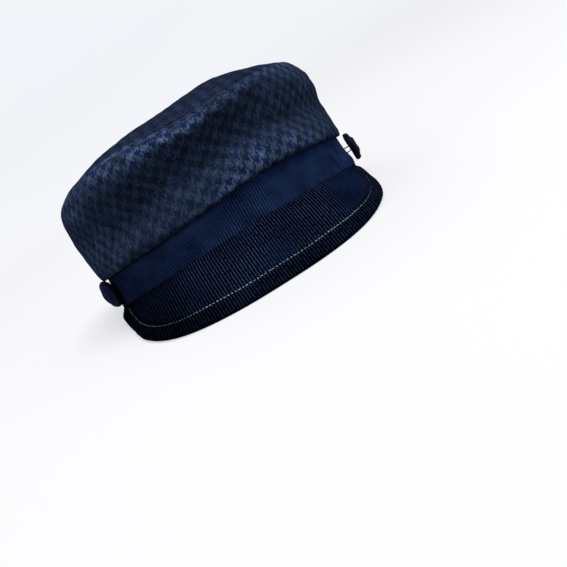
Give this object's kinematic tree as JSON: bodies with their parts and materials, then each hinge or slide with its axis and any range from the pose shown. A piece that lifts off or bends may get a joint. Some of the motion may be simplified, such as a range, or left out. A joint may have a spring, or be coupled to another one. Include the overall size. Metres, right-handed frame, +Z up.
{
  "type": "skipper cap",
  "caption": "Soft check wool crown over a corded band, with a stiff corded peak and a covered button at each end of the peak; worn on the head, here resting on its rim and peak.",
  "frame": {"origin": "on the table, under the middle of the cap's overall box", "axes": "+Z up; the peak points to -Y; +X is on the right of somebody who looks at the front"},
  "size_m": [0.183, 0.2528, 0.1008],
  "materials": {
    "crown_wool": "soft napped wool, navy and grey-green houndstooth",
    "band_cord": "navy needlecord, wales upright",
    "peak_cord": "dark navy needlecord over a stiff core, wales front to back, pale topstitch",
    "button_cloth": "dark navy cloth stretched over a button form",
    "button_thread": "sewing thread, wound into a short shank"
  },
  "bodies": {
    "root": {"crown_tip": "crown_wool", "crown_wall_front": "crown_wool", "crown_wall_back": "crown_wool", "band": "band_cord", "peak": "peak_cord", "button_left": "button_cloth", "button_right": "button_cloth", "button_shank_left": "button_thread", "button_shank_right": "button_thread"}
  },
  "joints": []
}
